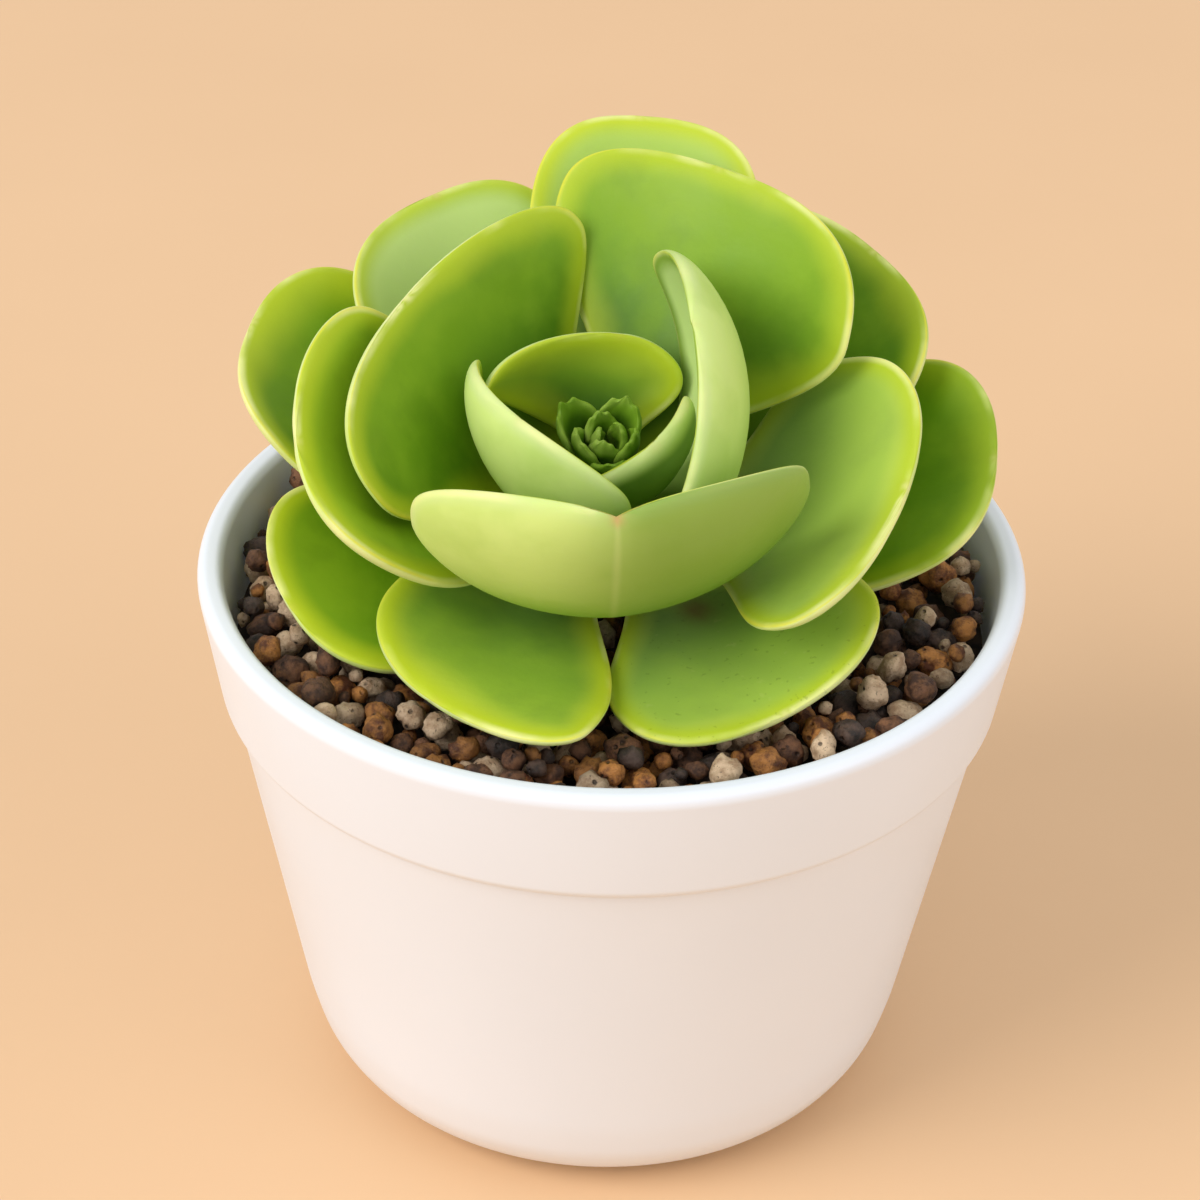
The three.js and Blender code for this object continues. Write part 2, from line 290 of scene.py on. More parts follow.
LEAF = dict(
    root_half=2.8, thick=4.2, cup=30, twist=0, keel=0, widest=0.68, waist=1.8, square=2.6, bias=0,
    skew=0, notch=0, shoulder=0,
    tone=0.5, fresh=1, bloom_and_sheen=0, shade=0, dusk=0, specks=0, stain=0, blush=0.1, crease_highlight=0, point=0,
    teeth=(0,),
)
LEAVES = {
    "leaf_01": dict(azimuth=243, root=(6.5, 4.1), length=47, width=40, rise=17, lift=28, cup=22,
                    widest=0.72, waist=1.7, square=2.5, bias=0.12, skew=5, shoulder=0.14, tone=0.8,
                    fresh=1.3, bloom_and_sheen=0.15),
    "leaf_02": dict(azimuth=300, root=(6.5, 3), length=47.5, width=43, rise=18, lift=25, cup=16,
                    waist=2.1, bias=0.08, skew=-2, shoulder=-0.06, tone=0.85, bloom_and_sheen=0.3, specks=0.24,
                    stain=1),
    "leaf_03": dict(azimuth=210, root=(6.5, 0.7), length=47, width=37, rise=14, lift=26, cup=22,
                    bias=-0.1, tone=0.4, fresh=1.2),
    "leaf_04": dict(azimuth=1, root=(6.5, 0), length=54, width=39.5, rise=14, lift=34, cup=22,
                    bias=0.04, skew=2, tone=0, fresh=0.5),
    "leaf_05": dict(azimuth=198, root=(5.5, 5.5), length=52.6, width=46, rise=28, lift=54, cup=34,
                    twist=-10, bias=-0.13, tone=1, fresh=1.1),
    "leaf_06": dict(azimuth=156, root=(5.6, 13.2), length=37.5, width=63.4, rise=32, lift=58, cup=26,
                    waist=1.5, bias=0.04, skew=4, tone=0.45),
    "leaf_07": dict(azimuth=161, root=(6.5, 1.9), length=55, width=43, rise=19, lift=37, cup=28,
                    twist=10, bias=0.12, tone=0.3, fresh=1.1),
    "leaf_08": dict(azimuth=122, root=(6.5, 5), length=50, width=40, rise=18, lift=38, cup=24,
                    twist=11, bias=0.12, tone=1, bloom_and_sheen=1.1, blush=0.3),
    "leaf_09": dict(azimuth=86.5, root=(6.5, 8.8), length=55, width=35, rise=19, lift=31, cup=24,
                    bias=-0.12, tone=1, fresh=1.5, bloom_and_sheen=0.5),
    "leaf_10": dict(azimuth=69, root=(5.5, 11.2), length=46.5, width=52, rise=30, lift=45, cup=24,
                    waist=2.1, twist=-12.5, bias=-0.15, shoulder=0.1, tone=0.65, fresh=0.9, bloom_and_sheen=0.05),
    "leaf_11": dict(azimuth=43, root=(6.5, 3), length=52, width=46, rise=15, lift=38, cup=24, twist=-8,
                    bias=-0.02, tone=0, fresh=0.8),
    "leaf_12": dict(azimuth=343, root=(5.5, 6), length=46.8, width=53, rise=22, lift=47, cup=30,
                    waist=2.5, twist=5, square=2.7, bias=-0.06, skew=3, shoulder=-0.16, tone=1.3,
                    bloom_and_sheen=0.35),
    "leaf_13": dict(azimuth=272, root=(5.5, 11.4), length=55, width=61, rise=6, lift=110, cup=46,
                    keel=2, twist=8, waist=1.7, square=3.2, bias=0.05, skew=-1, notch=2.4,
                    shoulder=-0.05, tone=0.5, blush=0.7, dusk=0.78, crease_highlight=1),
    "leaf_14": dict(azimuth=223, root=(4.9, 14.5), length=33.2, width=39, rise=26, lift=110, cup=50,
                    bias=-0.06, skew=1.8, thick=3.2, square=2.2, tone=1, fresh=0.6),
    "leaf_15": dict(azimuth=85, root=(3.9, 15.9), length=18.5, width=36, rise=31, lift=70, cup=54,
                    twist=8, thick=2.8, square=2.1, bias=0.46, skew=1.5, tone=1.2, fresh=1.2,
                    bloom_and_sheen=0.1, shade=0.2),
    "leaf_16": dict(azimuth=4, root=(4, 12.6), length=44, width=57, rise=24, lift=134, cup=46,
                    square=1.8, thick=3.3, waist=2, bias=-0.04, skew=3, shoulder=-0.08, tone=0.3,
                    fresh=0.2, bloom_and_sheen=1.3),
    "leaf_17": dict(azimuth=313, root=(4.4, 17), length=16.8, width=24, rise=42, lift=105, cup=50,
                    bias=0.06, skew=1.6, thick=3.2, tone=0.6, fresh=0.8, shade=0.75),
}
print("leaves:", len(LEAVES))

# %% [markdown]
# ### A leaf's outline and its midrib
# The flat outline gives each side its own width, so a leaf can be fuller on one side or slanted at its end.
# The midrib starts at the stem and climbs evenly from its first slope to its last, which is an arc, so its
# points can be written down at once instead of being added up step by step.

# %% Draw the outline and the midrib
def smoothstep(low, high, value):
    share = np.clip((np.asarray(value, dtype=float) - low) / (high - low), 0, 1)
    return share * share * (3 - 2 * share)


def half_width(leaf, along, side):
    """Half of the width on one side, 1 or -1: a narrow root, a broad middle and a round end."""
    wider = 1 + side * leaf["bias"]
    half = leaf["width"] / 2 * wider
    widest = leaf["widest"] + side * leaf["shoulder"]
    swell = np.sin(np.pi / 2 * np.minimum(along / widest, 1)) ** leaf["waist"]
    grown = leaf["root_half"] * wider + (half - leaf["root_half"] * wider) * swell
    beyond = np.clip((along - widest) / (1 - widest), 0, 1)
    return np.where(along < widest, grown, half * (1 - beyond ** leaf["square"]) ** (1 / leaf["square"]))


def leaf_frame(leaf, along):
    """The midrib at each share: its place, and the directions along, across and out of the upper face."""
    azimuth = math.radians(leaf["azimuth"])
    outward = np.array([math.cos(azimuth), math.sin(azimuth), 0])
    sideways = np.array([-math.sin(azimuth), math.cos(azimuth), 0])
    up = np.array([0, 0, 1])
    rise = math.radians(leaf["rise"])
    turn = math.radians(leaf["lift"]) - rise
    slope = (rise + turn * along)[:, None]
    reach = leaf["root"][0] + leaf["length"] * (np.sin(slope) - math.sin(rise)) / turn
    height = leaf["root"][1] + leaf["length"] * (math.cos(rise) - np.cos(slope)) / turn
    forward = outward * np.cos(slope) + up * np.sin(slope)
    twist = np.radians(leaf["twist"] * along)[:, None]
    flat_normal = np.cross(forward, sideways)
    across = sideways * np.cos(twist) + flat_normal * np.sin(twist)
    normal = flat_normal * np.cos(twist) - sideways * np.sin(twist)
    return outward * reach + up * height, forward, across, normal


DENT_WIDTH = 0.16


def end_shift(leaf, along, lateral):
    """How far the slanted and dented end moves a point along the leaf, in millimetres."""
    dent = leaf["notch"] * np.exp(-np.abs(lateral) / DENT_WIDTH) * along ** 6
    return leaf["skew"] * lateral * along ** 2 - dent


def flat_place(leaf, along, sideways):
    """Points of the leaf in its flat outline, in millimetres."""
    half = half_width(leaf, along, np.where(sideways > 0, 1, -1))
    lateral = sideways * half / (leaf["width"] / 2)
    return np.stack([along * leaf["length"] + end_shift(leaf, along, lateral), sideways * half], 1)


widest_leaf = max(LEAVES, key=lambda name: LEAVES[name]["width"])
print("widest leaf:", widest_leaf, LEAVES[widest_leaf]["width"], "mm")

# %% [markdown]
# ### From the outline to a thick, cupped blade
# Each crossing of the leaf is bent into an arc, so the sides curl up. Then the upper face is raised and the
# lower one let down by a share of the thickness, full in the middle and rounded at the margin. Solidify
# would give the sheet an even thickness and square edges, which a fleshy leaf doesn't have.

# %% Place points on both faces
UPPER_SHARE = 0.35
LOWER_SHARE = 0.65
NIB_WIDTH = 1.3


def leaf_points(leaf, along, sideways, face):
    """Points of the leaf: along from root 0 to tip 1, sideways from -1 to 1, face 1 above and -1 below."""
    centre, forward, across, normal = leaf_frame(leaf, along)
    half = half_width(leaf, along, np.where(sideways > 0, 1, -1))
    curl = np.maximum(0.01, math.radians(leaf["cup"]) * half / (leaf["width"] / 2))
    radius = half / curl
    angle = sideways * curl
    lateral = sideways * half / (leaf["width"] / 2)
    keel = leaf["keel"] * along ** 3 * (1 - np.minimum(1, np.abs(lateral))) ** 2
    points = (
        centre + across * (radius * np.sin(angle))[:, None]
        + normal * (radius * (1 - np.cos(angle)) - keel)[:, None]
        + forward * end_shift(leaf, along, lateral)[:, None]
    )
    outward = normal * np.cos(angle)[:, None] - across * np.sin(angle)[:, None]
    fullness = 0.7 * np.sqrt(1 - np.abs(sideways) ** 7) + 0.3 * (1 - sideways ** 2)
    ends = (0.6 + 0.4 * smoothstep(0, 0.4, along)) * np.sqrt(1 - along ** 9)
    share = np.select([face > 0, face < 0], [UPPER_SHARE, -LOWER_SHARE], 0)
    points += outward * (share * leaf["thick"] * fullness * ends)[:, None]
    # the small points that a young leaf has on its end
    for tooth in leaf["teeth"]:
        nib = np.exp(-(((lateral - tooth) * leaf["width"] / NIB_WIDTH) ** 2)) * smoothstep(0.88, 1, along)
        points += forward * (leaf["point"] * nib)[:, None]
    return points


def in_rosette(points):
    """Takes points from the rosette's own space to their place over the pot."""
    return (LEAN @ points.T).T + ROSETTE_AT


front_leaf = {**LEAF, **LEAVES["leaf_13"]}
tip_place = in_rosette(leaf_points(front_leaf, np.array([1.0]), np.array([0.0]), np.array([0.0])))[0]
print("tip of the front leaf, in mm:", [round(value, 1) for value in tip_place])

# %% [markdown]
# ### Numbers for the skin
# The colours of a leaf follow its form: a pale line runs along the margin, the tip is blushed, and one leaf
# has a brown spot. A painted picture would have to be fitted to each leaf. Here the numbers are worked out
# in the flat outline, where distances are simple, and kept on the points of the mesh.

# %% Keep a leaf's numbers on its mesh
RIM_STEPS = 120
STAIN_PLACE = (0.38, 0.04)
STAIN_SIZE = (3.4, 2.2)
BLUSH_REACH = 0.9


def margin_distance(leaf, flat):
    """The distance to the margin, measured in the flat outline."""
    steps = np.sin(np.linspace(0, np.pi / 2, RIM_STEPS))
    line = np.concatenate([flat_place(leaf, steps, np.full(RIM_STEPS, side)) for side in (1.0, -1.0)])
    return np.sqrt(((flat[:, None, :] - line[None, :, :]) ** 2).sum(2)).min(1)


def paint_leaf(piece, leaf, along, sideways, above):
    """Keeps on the mesh the numbers that the leaf's finish reads."""
    flat = flat_place(leaf, along, sideways)
    tip = flat_place(leaf, np.array([1.0]), np.array([0.0]))[0]
    from_tip = np.sqrt(((flat - tip) ** 2).sum(1))
    stain_at = np.array(STAIN_PLACE) * leaf["length"]
    from_stain = np.sqrt((((flat - stain_at) / STAIN_SIZE) ** 2).sum(1))
    paint(piece, "rim", margin_distance(leaf, flat))
    paint(piece, "along", along)
    paint(piece, "above", above)
    paint(piece, "blush", leaf["blush"] * np.exp(-((from_tip / BLUSH_REACH) ** 2)))
    paint(piece, "stain", leaf["stain"] * np.exp(-(from_stain ** 2)))
    # dusk paints shade on the side of a leaf that is turned from the light
    paint(piece, "dusk", leaf["dusk"] * smoothstep(-0.45, 0.25, sideways))
    paint(piece, "sideways", sideways)
    for trait in ("tone", "fresh", "bloom_and_sheen", "shade", "crease_highlight", "specks"):
        paint(piece, trait, np.full(len(along), leaf[trait]))


middle = flat_place(front_leaf, np.array([0.5]), np.array([0.0]))
print("from the front leaf's middle to its margin, in mm:", margin_distance(front_leaf, middle).round(1)[0])

# %% [markdown]
# ### Turning a ball into a leaf
# A flat grid would leave an open edge to close. A ball is already closed and round at its margin, so each
# leaf starts as a UV sphere. Its lower pole becomes the root and its upper pole the tip, its rings run up
# the leaf, and the front and back of each ring become the upper and the lower face. Slight waves keep it
# from looking cast in a mould.

# %% Make a leaf's mesh
LEAF_SEGMENTS = 72
LEAF_RINGS = 54
WAVE_HEIGHT = 0.45
WAVES_ALONG = 4
WAVES_ACROSS = 2.2


def unevenness(along, sideways, seed):
    """Slight waves of the margin and of the faces, none near the root."""
    wave = np.array([
        noise.noise(Vector((WAVES_ALONG * a, WAVES_ACROSS * s, seed))) for a, s in zip(along, sideways)
    ])
    return WAVE_HEIGHT * wave * smoothstep(0.25, 0.6, along) * (0.4 + 0.6 * np.abs(sideways) ** 3)


def leaf_piece(leaf, segments, rings, seed):
    """A leaf as a mesh, with the numbers that its finish reads."""
    deselect()
    bpy.ops.mesh.primitive_uv_sphere_add(segments=segments, ring_count=rings, radius=1)
    piece = bpy.context.object
    ball = points_of(piece)
    ring = np.rint(np.arccos(np.clip(-ball[:, 2], -1, 1)) / np.pi * rings)
    pole = (ring == 0) | (ring == rings)
    turn = np.arctan2(ball[:, 1], ball[:, 0])
    along = np.where(ring == 0, 0, np.sin(np.pi / 2 * (ring - 1) / (rings - 1)))
    sideways = np.where(pole, 0, np.round(np.cos(turn), 6))
    face = np.where(pole, 0, np.sign(np.round(np.sin(turn), 6)))
    _, _, _, normal = leaf_frame(leaf, along)
    points = leaf_points(leaf, along, sideways, face)
    points += normal * unevenness(along, sideways, seed)[:, None]
    move_points(piece, in_rosette(points) * MM)
    paint_leaf(piece, leaf, along, sideways, above=np.where(pole, 0, np.sin(turn)))
    bpy.ops.object.shade_smooth()
    return piece


print("points of a leaf:", LEAF_SEGMENTS * (LEAF_RINGS - 1) + 2)

# %% [markdown]
# ### The leaves' finish
# The skin is waxy and satin. The upper face is deepest green near the root, turns lime towards the margin
# and ends in a thin pale line. The lower face is paler. A painted picture could hold all that, but it would
# fit one leaf only. Here one material reads the numbers on each mesh, so it paints all leaves, each with a
# tone of its own.

# %% Colour the two faces
def upper_face(tree, tints, rim, reach, along, tone):
    """Deep near the root, lighter outward, lime near the margin, pale with waxy bloom and a painted sheen."""
    colour = blend(tree, fade(tree, along, 0.15, 0.75), tints["deep"], tints["mid"])
    colour = blend(tree, multiply(tree, tone, fade(tree, along, 0.4, 1.0)), colour, tints["light"])
    colour = blend(tree, fade(tree, mottle(tree, 70, 4), 0.42, 0.66, 0, 0.28), colour, tints["light"])
    colour = blend(tree, fade(tree, mottle(tree, 110, 5), 0.46, 0.7, 0, 0.16), colour, tints["deep"])
    band = multiply(tree, read(tree, "fresh"), fade(tree, reach, 6, 0.3, 0, 0.75))
    colour = blend(tree, band, colour, tints["lime"])
    # waxy bloom together with a painted sheen: a pale film away from the margin
    bloom_and_sheen = multiply(tree, read(tree, "bloom_and_sheen"), fade(tree, rim, 0.6, 4, 0.1, 0.75))
    return blend(tree, bloom_and_sheen, colour, tints["bloom_and_sheen"])


def lower_face(tree, tints, reach, along, tone):
    """Green near the root, pale farther out and at the margin."""
    under, pale = tints["under"], tints["under_edge"]
    colour = blend(tree, fade(tree, along, 0.3, 0.85, 0, 0.6), under, pale)
    colour = blend(tree, multiply(tree, tone, fade(tree, along, 0.3, 0.7, 0, 0.6)), colour, pale)
    colour = blend(tree, fade(tree, reach, 9, 1, 0, 0.7), colour, pale)
    return blend(tree, fade(tree, mottle(tree, 62, 4), 0.45, 0.65, 0, 0.28), colour, under)


print("two faces, one above and one below the margin")

# %% [markdown]
# ### The margin
# The thick edge is pale below its ridge, and the ridge itself is a thin uneven line, worn here and strong
# there. A thread laid along the edge would stand out too evenly, so the lines are mixed into the skin by
# the distance to the margin and broken up by a soft pattern.

# %% Colour the margin
def margin_lines(tree, skin, tints, rim, above):
    uneven = mottle(tree, 55, 3)
    edge = multiply(tree, fade(tree, rim, 2.4, 0.8), fade(tree, above, 0.02, -0.06, 0, 0.7))
    skin = blend(tree, multiply(tree, edge, fade(tree, uneven, 0.3, 0.6, 0.3, 1)), skin, tints["margin"])
    worn = fade(tree, mottle(tree, 75, 3), 0.4, 0.66, 0.04, 0.75)
    skin = blend(tree, multiply(tree, fade(tree, rim, 1.2, 0.2), worn), skin, tints["pale"])
    ridge = multiply(tree, fade(tree, above, 0.0, 0.06), fade(tree, above, 0.26, 0.12))
    ridge = multiply(tree, ridge, fade(tree, uneven, 0.4, 0.6, 0.1, 0.7))
    return blend(tree, ridge, skin, tints["ridge"])


print("at the margin: a pale edge, a worn line and a ridge")

# %% [markdown]
# ### The marks
# The front leaf has painted shade on the side turned from the light, a pale painted highlight along a faint
# crease down its back and a browned dent in its end. One leaf near the front has small dark and pale specks
# and a brown spot, and painted shade darkens the inside of the youngest leaves. None of these has a
# thickness, so a mesh for each would gain nothing. They are mixed in last.

# %% Add the marks
def leaf_marks(tree, skin, tints, reach, above):
    back = fade(tree, above, 0.1, -0.2)
    # painted shade on the side of the front leaf that is turned from the light
    skin = blend(tree, multiply(tree, read(tree, "dusk"), back), skin, tints["dusk"])
    # a pale painted highlight along the faint crease down the back of the front leaf
    from_crease = add_node(tree, "ShaderNodeMath", operation="ABSOLUTE")
    tree.links.new(read(tree, "sideways"), from_crease.inputs[0])
    crease_highlight = multiply(tree, read(tree, "crease_highlight"), fade(tree, from_crease.outputs[0], 0.03, 0.0, 0, 0.22))
    skin = blend(tree, multiply(tree, crease_highlight, back), skin, tints["crease_highlight"])
    # painted shade: the youngest leaves are darkened away from their margins
    young = multiply(tree, read(tree, "shade"), fade(tree, reach, 0.3, 2.6))
    skin = blend(tree, young, skin, tints["inside"])
    specks = read(tree, "specks")
    dark_specks = multiply(tree, fade(tree, mottle(tree, 900, 2, 0.6), 0.66, 0.70), specks)
    skin = blend(tree, dark_specks, skin, (0.06, 0.10, 0.01))
    pale_specks = multiply(tree, fade(tree, mottle(tree, 500, 2), 0.33, 0.25, 0, 0.5), specks)
    skin = blend(tree, pale_specks, skin, (0.62, 0.62, 0.22))
    skin = blend(tree, read(tree, "stain"), skin, (0.16, 0.12, 0.03))
    return blend(tree, read(tree, "blush"), skin, (0.58, 0.27, 0.10))


print("marks: dusk, crease, dark inside, specks, spot and blush")

# %% [markdown]
# ### The whole skin
# A leaf is a little translucent, so some light spreads below its surface, and its gloss is low and drifts
# a little. The large leaves and the young ones could share one set of colours, but the young ones are
# darker and less pale at the margin, so each has a set of its own.

# %% Mix the skins
def leaf_finish(name, **tints):
    material, tree, shader = new_material(
        name, 0.45, Specular_IOR_Level=0.2, Subsurface_Weight=0.1, Subsurface_Scale=0.002
    )
    shader.inputs["Subsurface Radius"].default_value = (0.7, 1.0, 0.2)
    rim, above, along, tone = [read(tree, name) for name in ("rim", "above", "along", "tone")]
    # the bands at the margin are broader here and narrower there
    reach = multiply(tree, rim, fade(tree, mottle(tree, 38, 2), 0.3, 0.7, 0.65, 1.4))
    upper = upper_face(tree, tints, rim, reach, along, tone)
    lower = lower_face(tree, tints, reach, along, tone)
    skin = blend(tree, fade(tree, above, 0.04, -0.3), upper, lower)
    skin = margin_lines(tree, skin, tints, rim, above)
    skin = leaf_marks(tree, skin, tints, reach, above)
    tree.links.new(skin, shader.inputs["Base Color"])
    tree.links.new(fade(tree, mottle(tree, 140), 0.3, 0.7, 0.40, 0.52), shader.inputs["Roughness"])
    bump = add_node(tree, "ShaderNodeBump", Strength=0.1, Distance=0.0004, Height=mottle(tree, 700, 4))
    tree.links.new(bump.outputs["Normal"], shader.inputs["Normal"])
    return material


# bloom is waxy dust with a painted sheen, dusk is painted shade, and crease is a pale painted highlight
SHARED_TINTS = dict(bloom_and_sheen=(0.55, 0.71, 0.24), dusk=(0.185, 0.32, 0.03), crease_highlight=(0.70, 0.76, 0.30))
leaf_skin = leaf_finish(
    "waxy_leaf", deep=(0.040, 0.122, 0.002), mid=(0.118, 0.270, 0.004), light=(0.32, 0.49, 0.020),
    lime=(0.50, 0.60, 0.020), pale=(0.84, 0.84, 0.36), under=(0.31, 0.51, 0.045),
    under_edge=(0.66, 0.80, 0.25), margin=(0.62, 0.73, 0.30), ridge=(0.72, 0.68, 0.06),
    inside=(0.035, 0.135, 0.004), **SHARED_TINTS,
)
young_skin = leaf_finish(
    "young_leaf", deep=(0.025, 0.075, 0.002), mid=(0.075, 0.18, 0.005), light=(0.15, 0.29, 0.012),
    lime=(0.20, 0.36, 0.02), pale=(0.40, 0.54, 0.10), under=(0.075, 0.18, 0.006),
    under_edge=(0.15, 0.29, 0.015), margin=(0.22, 0.38, 0.025), ridge=(0.30, 0.44, 0.03),
    inside=(0.03, 0.10, 0.003), **SHARED_TINTS,
)
print("finishes:", leaf_skin.name, young_skin.name)

# %% [markdown]
# ### All the leaves
# Every leaf is grown from its own row of measures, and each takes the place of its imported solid. Copies of
# one leaf would be quicker, but no two leaves of a rosette are alike.

# %% Grow the seventeen leaves
leaf_objects = []
for number, (name, row) in enumerate(LEAVES.items()):
    piece = leaf_piece({**LEAF, **row}, LEAF_SEGMENTS, LEAF_RINGS, seed=3.7 * number)
    finish_piece(piece, name + "_blade", leaf_skin, "leaf", name)
    leaf_objects.append(piece)

# %% [markdown]
# ## The heart
# In the middle the next leaves are only a few millimetres long. They stand up in a spiral, each 137.5
# degrees on from the last, with small points on their margins. They are made as the large leaves are, with
# fewer faces, and joined into one piece with the growing point.

# %% Grow the heart
STEM_TOP = 17
HEART_FOOT = STEM_TOP + 0.3
HEART_LEAVES = 9
FIRST_AZIMUTH = 150
GOLDEN_ANGLE = 137.5
GROWING_POINT_HEIGHT = 5.7

heart_parts = []
for number in range(HEART_LEAVES):
    young = {
        **LEAF, "azimuth": FIRST_AZIMUTH + GOLDEN_ANGLE * number,
        "root": (1.4, HEART_FOOT + 0.9 + 0.3 * number), "length": 11 - 0.75 * number,
        "width": 9.2 - 0.66 * number, "rise": 38 + 4.5 * number, "lift": 72 + 4 * number, "cup": 62,
        "thick": 1.5, "root_half": 1.5, "widest": 0.62, "square": 2.1, "tone": 0.2, "blush": 0,
        # the heart's leaves get painted shade as well
        "shade": 0.8, "point": 1.1, "teeth": (-0.55, 0, 0.55),
    }
    heart_parts.append(leaf_piece(young, segments=64, rings=36, seed=70 + number))
deselect()
bpy.ops.mesh.primitive_cone_add(vertices=24, radius1=2.6, radius2=0.5, depth=GROWING_POINT_HEIGHT)
growing_point = bpy.context.object
core = points_of(growing_point) + np.array([0, 0, HEART_FOOT + GROWING_POINT_HEIGHT / 2])
move_points(growing_point, in_rosette(core) * MM)
heart_parts.append(growing_point)
deselect()
for piece in heart_parts:
    piece.select_set(True)
bpy.context.view_layer.objects.active = heart_parts[0]
bpy.ops.object.join()
finish_piece(bpy.context.object, "heart_leaves", young_skin, "young_leaf", "heart")

# %% [markdown]
# ## The stem
# The short stem hardly shows, but from behind and below it does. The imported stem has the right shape, so it
# stays, with a woody green-brown skin.

# %% Dress the stem
stem_skin, stem_tree, stem_shader = new_material("stem_skin", 0.7)
stem_colour = blend(
    stem_tree, fade(stem_tree, mottle(stem_tree, 260), 0.35, 0.65), (0.16, 0.17, 0.05), (0.34, 0.33, 0.12)
)
stem_tree.links.new(stem_colour, stem_shader.inputs["Base Color"])
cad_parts["stem"].data.materials.clear()
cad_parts["stem"].data.materials.append(stem_skin)
print("finish:", stem_skin.name)

# %% [markdown]
# ## The pot
# The pot was turned: a rounded heel, a tapered wall, a collar that stands a little proud, and a rounded
# lip. It could be spun from a profile. Here it grows from its foot instead, as on a wheel: a disc's edge is
# extruded again and again, and each new ring is given the radius and the height of the profile there.

# %% Round a profile's corners
MOST_OF_HALF = 0.48


def rounded(profile, radii, steps=5):
    """Replaces each corner that has a radius by a short curve."""
    path = []
    for number, place in enumerate(profile):
        place = np.array(place, dtype=float)
        if radii[number] == 0:
            path.append(place)
            continue
        before = np.array(profile[number - 1], dtype=float) - place
        after = np.array(profile[number + 1], dtype=float) - place
        room = MOST_OF_HALF * min(np.linalg.norm(before), np.linalg.norm(after))
        reach = min(radii[number], room)
        start = place + before / np.linalg.norm(before) * reach
        end = place + after / np.linalg.norm(after) * reach
        for step in range(steps + 1):
            share = step / steps
            path.append((1 - share) ** 2 * start + 2 * share * (1 - share) * place + share ** 2 * end)
    return path


# radii and heights in millimetres: foot and heel, wall, collar and lip, then the inside down to the floor
POT_PROFILE = [
    (33, 0), (37.6, 1.6), (41.4, 4.6), (44, 8.8), (45.7, 15), (55.6, 66.2), (56.7, 66.8), (57.2, 67.6),
    (60, 84), (59.7, 85), (58.8, 85.6), (57, 85.6), (56.2, 84.6), (53.6, 66.8), (43.1, 15), (39, 8),
    (32, 4), (2, 4),
]
CORNERS = [0, 2, 2, 2, 2, 0.6, 0.5, 0.5, 0.5, 0.5, 0.5, 0.6, 0.5, 2, 3, 3, 2, 0]
pot_path = rounded(POT_PROFILE, CORNERS)
print("rings of the pot:", len(pot_path))

# %% [markdown]
# ### Extruding a vessel
# The first ring is a filled disc, the foot. Its edge is extruded straight up and then resized about the
# pot's axis, once for every ring of the profile. The last small ring is merged into one point, which closes
# the floor, and the normals are made to point outward again.

# %% Throw the pot
def thrown(path, sides):
    """A closed vessel: a disc whose edge is extruded through the path of radii and heights."""
    deselect()
    bpy.ops.mesh.primitive_circle_add(vertices=sides, radius=path[0][0] * MM, fill_type="TRIFAN")
    vessel = bpy.context.object
    bpy.ops.object.mode_set(mode="EDIT")
    bpy.ops.mesh.select_all(action="SELECT")
    bpy.ops.mesh.flip_normals()
    bpy.ops.mesh.region_to_loop()
    radius, height = path[0]
    for next_radius, next_height in path[1:]:
        bpy.ops.mesh.extrude_region_move(
            TRANSFORM_OT_translate={"value": (0, 0, (next_height - height) * MM)}
        )
        scale = next_radius / radius
        bpy.ops.transform.resize(value=(scale, scale, 1), center_override=(0, 0, 0))
        radius, height = next_radius, next_height
    bpy.ops.mesh.merge(type="CENTER")
    bpy.ops.mesh.select_all(action="SELECT")
    bpy.ops.mesh.normals_make_consistent(inside=False)
    bpy.ops.object.mode_set(mode="OBJECT")
    return vessel


pot = thrown(pot_path, sides=160)
bpy.ops.object.shade_smooth_by_angle(angle=math.radians(40))
print("points of the pot:", len(pot.data.vertices))

# %% [markdown]
# ### The glaze
# The pot is a plain, satin white. One flat white would look like plastic, so the colour and the gloss drift
# a little over the wall, and a very faint bump breaks up the reflection.

# %% Glaze the pot
glaze, glaze_tree, glaze_shader = new_material("white_glaze", 0.34)
glaze_colour = blend(
    glaze_tree, fade(glaze_tree, mottle(glaze_tree, 14, 3), 0.35, 0.7),
    (0.795, 0.835, 0.905), (0.825, 0.86, 0.925),
)
glaze_gloss = fade(glaze_tree, mottle(glaze_tree, 60, 3), 0.3, 0.7, 0.30, 0.42)
glaze_bump = add_node(
    glaze_tree, "ShaderNodeBump", Strength=0.04, Distance=0.0003, Height=mottle(glaze_tree, 90, 3)
)
glaze_tree.links.new(glaze_colour, glaze_shader.inputs["Base Color"])
glaze_tree.links.new(glaze_gloss, glaze_shader.inputs["Roughness"])
glaze_tree.links.new(glaze_bump.outputs["Normal"], glaze_shader.inputs["Normal"])
finish_piece(pot, "pot_glazed", glaze, "pot", "pot")

# %% [markdown]
# ## The grit
# The pot is filled with round grains from 2 to 5 mm: pale pitted pumice, orange-brown baked clay, dark lava
# and brown loam. A bumpy sheet would look like a picture of grit, so every grain that can be seen is a mesh.
# Filling the whole pot with grains would cost far too many faces, so a near-black filling lies below them: it
# is painted shade that stands for the grains in shade deep in the gaps.

# %% Fill the pot below the grains
BED_PROFILE = [
    (32, 4.6), (38, 8.6), (42.5, 15.2), (53, 66.8), (54.8, 77.6), (44, 77.6), (38, 75.2), (2, 75.2),
]
bed = thrown(rounded(BED_PROFILE, [0] * len(BED_PROFILE)), sides=72)
